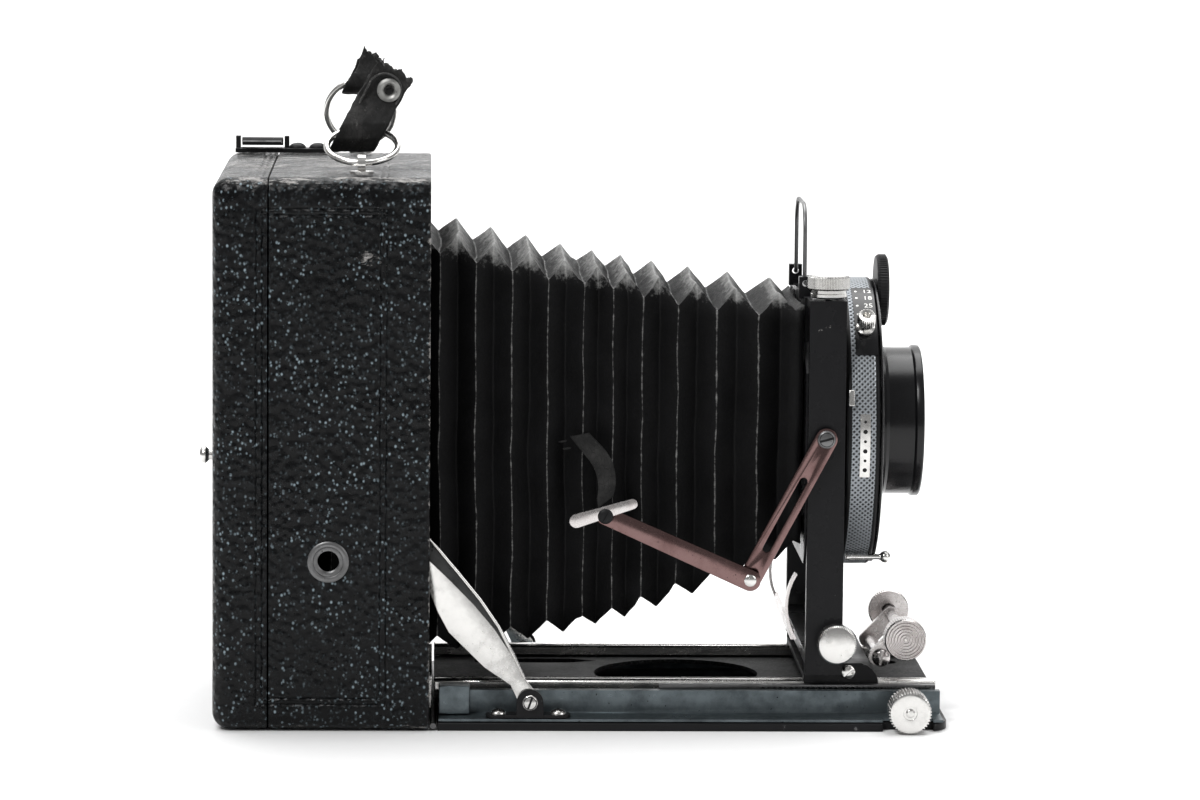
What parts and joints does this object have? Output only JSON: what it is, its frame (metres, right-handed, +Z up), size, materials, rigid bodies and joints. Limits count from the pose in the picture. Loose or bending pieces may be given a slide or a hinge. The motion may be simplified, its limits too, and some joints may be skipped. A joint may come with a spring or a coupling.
{
  "type": "folding plate view camera",
  "caption": "Leather covered folding plate camera on its open drop bed, with bellows, rack focusing track, rising and shifting lens standard and leaf shutter.",
  "frame": {"origin": "centre of the camera body's bottom face, the face it stands on", "axes": "+X from the body towards the lens along the bed, +Y to the side away from the tripod bush and the focusing knob, +Z up"},
  "size_m": [0.2123, 0.115, 0.1891],
  "materials": {
    "leather": "pebbled black leather, glossy on the grain, worn at the edges",
    "bellows": "matte black thin leather over card ribs",
    "strap": "dry, scuffed dark leather",
    "black_metal": "grainy matte black paint, chipped",
    "enamel": "glossy black enamel, chipped at the edges",
    "blued_steel": "blued grey steel",
    "nickel": "bright nickel plate, lightly worn",
    "steel": "plain steel",
    "glass": "clear glass"
  },
  "bodies": {
    "camera_body": {"body_shell": "leather", "film_gate": "black_metal", "back_frame": "leather", "ground_glass": "glass", "hood_hinge": "steel", "tripod_bush": "nickel", "inner_rails": "nickel", "sight_base": "steel", "strap_post_near": "nickel", "strap_post_far": "nickel", "bed_door": "black_metal", "bed_hinge_pin": "steel", "guide_near": "blued_steel", "guide_far": "blued_steel", "rail_end_block": "black_metal", "strut_near": "nickel", "strut_far": "nickel", "strut_bracket_near": "black_metal", "strut_bracket_far": "black_metal", "strut_stud_near": "nickel", "strut_stud_far": "nickel"},
    "hood": {"hood_door": "leather"},
    "hood_latch": {"hood_catch": "nickel"},
    "sight": {"sight_flap": "steel"},
    "near_ring": {"strap_ring_near": "nickel", "strap_near": "strap"},
    "far_ring": {"strap_ring_far": "nickel", "strap_far": "strap"},
    "focus_drive": {"focus_knob": "nickel"},
    "focus_track": {"track_plate": "black_metal", "track_rail_near": "nickel", "track_rail_far": "nickel", "focus_rack": "steel"},
    "standard": {"standard_foot": "black_metal", "pull_lever": "steel"},
    "near_grip": {"pull_knob_near": "nickel"},
    "far_grip": {"pull_knob_far": "nickel"},
    "cross_front": {"u_frame": "enamel", "standard_spring": "steel"},
    "shift_drive": {"shift_knob": "nickel"},
    "rise_drive": {"rise_knob": "nickel"},
    "upper_link": {"link_upper": "nickel"},
    "lower_link": {"link_lower": "nickel"},
    "hook": {"link_hook": "steel"},
    "rising_front": {"lens_panel": "enamel", "shutter_housing": "nickel", "iris_diaphragm": "black_metal", "shutter_cover": "nickel", "lens_barrel": "enamel", "rear_cell": "black_metal", "front_lens": "glass", "rear_lens": "glass", "cable_socket": "nickel", "bellows": "bellows", "bellows_tab": "strap"},
    "finder": {"finder_loop": "nickel"},
    "dial": {"speed_dial": "nickel"},
    "aperture": {"aperture_pointer": "nickel"},
    "release": {"release_lever": "nickel"}
  },
  "joints": [
    {"name": "hood_swing", "type": "hinge", "parent": "camera_body", "child": "hood", "pos_m": [-0.0319, 0.0416, 0.079], "axis": [0, 0, -1], "range_deg": [0, 105]},
    {"name": "hood_catch_slide", "type": "slide", "parent": "hood", "child": "hood_latch", "axis": [0, 1, 0], "range_m": [0, 0.0025], "stiffness_N_per_m": 150},
    {"name": "sight_raise", "type": "hinge", "parent": "camera_body", "child": "sight", "pos_m": [-0.0196, 0.0488, 0.1593], "axis": [-1, 0, 0], "range_deg": [0, 90]},
    {"name": "near_ring_swing", "type": "hinge", "parent": "camera_body", "child": "near_ring", "pos_m": [0.011, -0.0435, 0.1593], "axis": [1, 0, 0], "range_deg": [0, 80]},
    {"name": "far_ring_swing", "type": "hinge", "parent": "camera_body", "child": "far_ring", "pos_m": [0.0095, 0.0435, 0.1593], "axis": [1, 0, 0], "range_deg": [-45, 0]},
    {"name": "track_focus", "type": "slide", "parent": "camera_body", "child": "focus_track", "axis": [1, 0, 0], "range_m": [0, 0.035]},
    {"name": "focus_knob_turn", "type": "hinge", "parent": "camera_body", "child": "focus_drive", "pos_m": [0.166, -0.053, 0.0062], "axis": [0, 1, 0], "range_deg": [0, 720]},
    {"name": "standard_slide", "type": "slide", "parent": "focus_track", "child": "standard", "axis": [1, 0, 0], "range_m": [-0.142, 0], "deforming": ["bellows", "bellows_tab"]},
    {"name": "near_grip_squeeze", "type": "slide", "parent": "standard", "child": "near_grip", "axis": [0, 1, 0], "range_m": [0, 0.0024], "stiffness_N_per_m": 200},
    {"name": "far_grip_squeeze", "type": "slide", "parent": "standard", "child": "far_grip", "axis": [0, -1, 0], "range_m": [0, 0.0025], "stiffness_N_per_m": 200},
    {"name": "front_shift", "type": "slide", "parent": "standard", "child": "cross_front", "axis": [0, 1, 0], "range_m": [-0.0027, 0.0027]},
    {"name": "shift_knob_turn", "type": "hinge", "parent": "cross_front", "child": "shift_drive", "pos_m": [0.146, -0.044, 0.0236], "axis": [0, 1, 0], "range_deg": [-390, 390]},
    {"name": "front_rise", "type": "slide", "parent": "cross_front", "child": "rising_front", "axis": [0, 0, 1], "range_m": [0, 0.012]},
    {"name": "rise_knob_turn", "type": "hinge", "parent": "cross_front", "child": "rise_drive", "pos_m": [0.1432, -0.0344, 0.124], "axis": [0, 0, 1], "range_deg": [0, 1735]},
    {"name": "link_upper_swing", "type": "hinge", "parent": "cross_front", "child": "upper_link", "pos_m": [0.1425, -0.0426, 0.0819], "axis": [0, 1, 0], "range_deg": [-28.6, 0]},
    {"name": "link_lower_swing", "type": "hinge", "parent": "upper_link", "child": "lower_link", "pos_m": [0.1212, -0.0452, 0.0419], "axis": [0, 1, 0], "range_deg": [0, 88.6]},
    {"name": "hook_swing", "type": "hinge", "parent": "lower_link", "child": "hook", "pos_m": [0.08, -0.0466, 0.0603], "axis": [0, 1, 0], "range_deg": [-12, 12]},
    {"name": "finder_fold", "type": "hinge", "parent": "rising_front", "child": "finder", "pos_m": [0.1376, 0, 0.1242], "axis": [0, -1, 0], "range_deg": [0, 88]},
    {"name": "speed_dial_turn", "type": "hinge", "parent": "rising_front", "child": "dial", "pos_m": [0.1593, 0, 0.1205], "axis": [1, 0, 0], "range_deg": [0, 300]},
    {"name": "aperture_turn", "type": "hinge", "parent": "rising_front", "child": "aperture", "pos_m": [0.1496, 0, 0.0824], "axis": [1, 0, 0], "range_deg": [0, 30]},
    {"name": "release_press", "type": "hinge", "parent": "rising_front", "child": "release", "pos_m": [0.15, 0, 0.0824], "axis": [1, 0, 0], "range_deg": [0, 12], "stiffness_Nm_per_rad": 0.03}
  ],
  "couplings": [
    {"joint": "focus_knob_turn", "follows": "track_focus", "rad_per_m": 357.14},
    {"joint": "far_grip_squeeze", "follows": "near_grip_squeeze", "ratio": 1},
    {"joint": "shift_knob_turn", "follows": "front_shift", "rad_per_m": 2513.3},
    {"joint": "rise_knob_turn", "follows": "front_rise", "rad_per_m": 2513.3},
    {"joint": "link_upper_swing", "follows": "standard_slide", "rad_per_m": 3.4415},
    {"joint": "link_lower_swing", "follows": "standard_slide", "rad_per_m": -10.816}
  ]
}
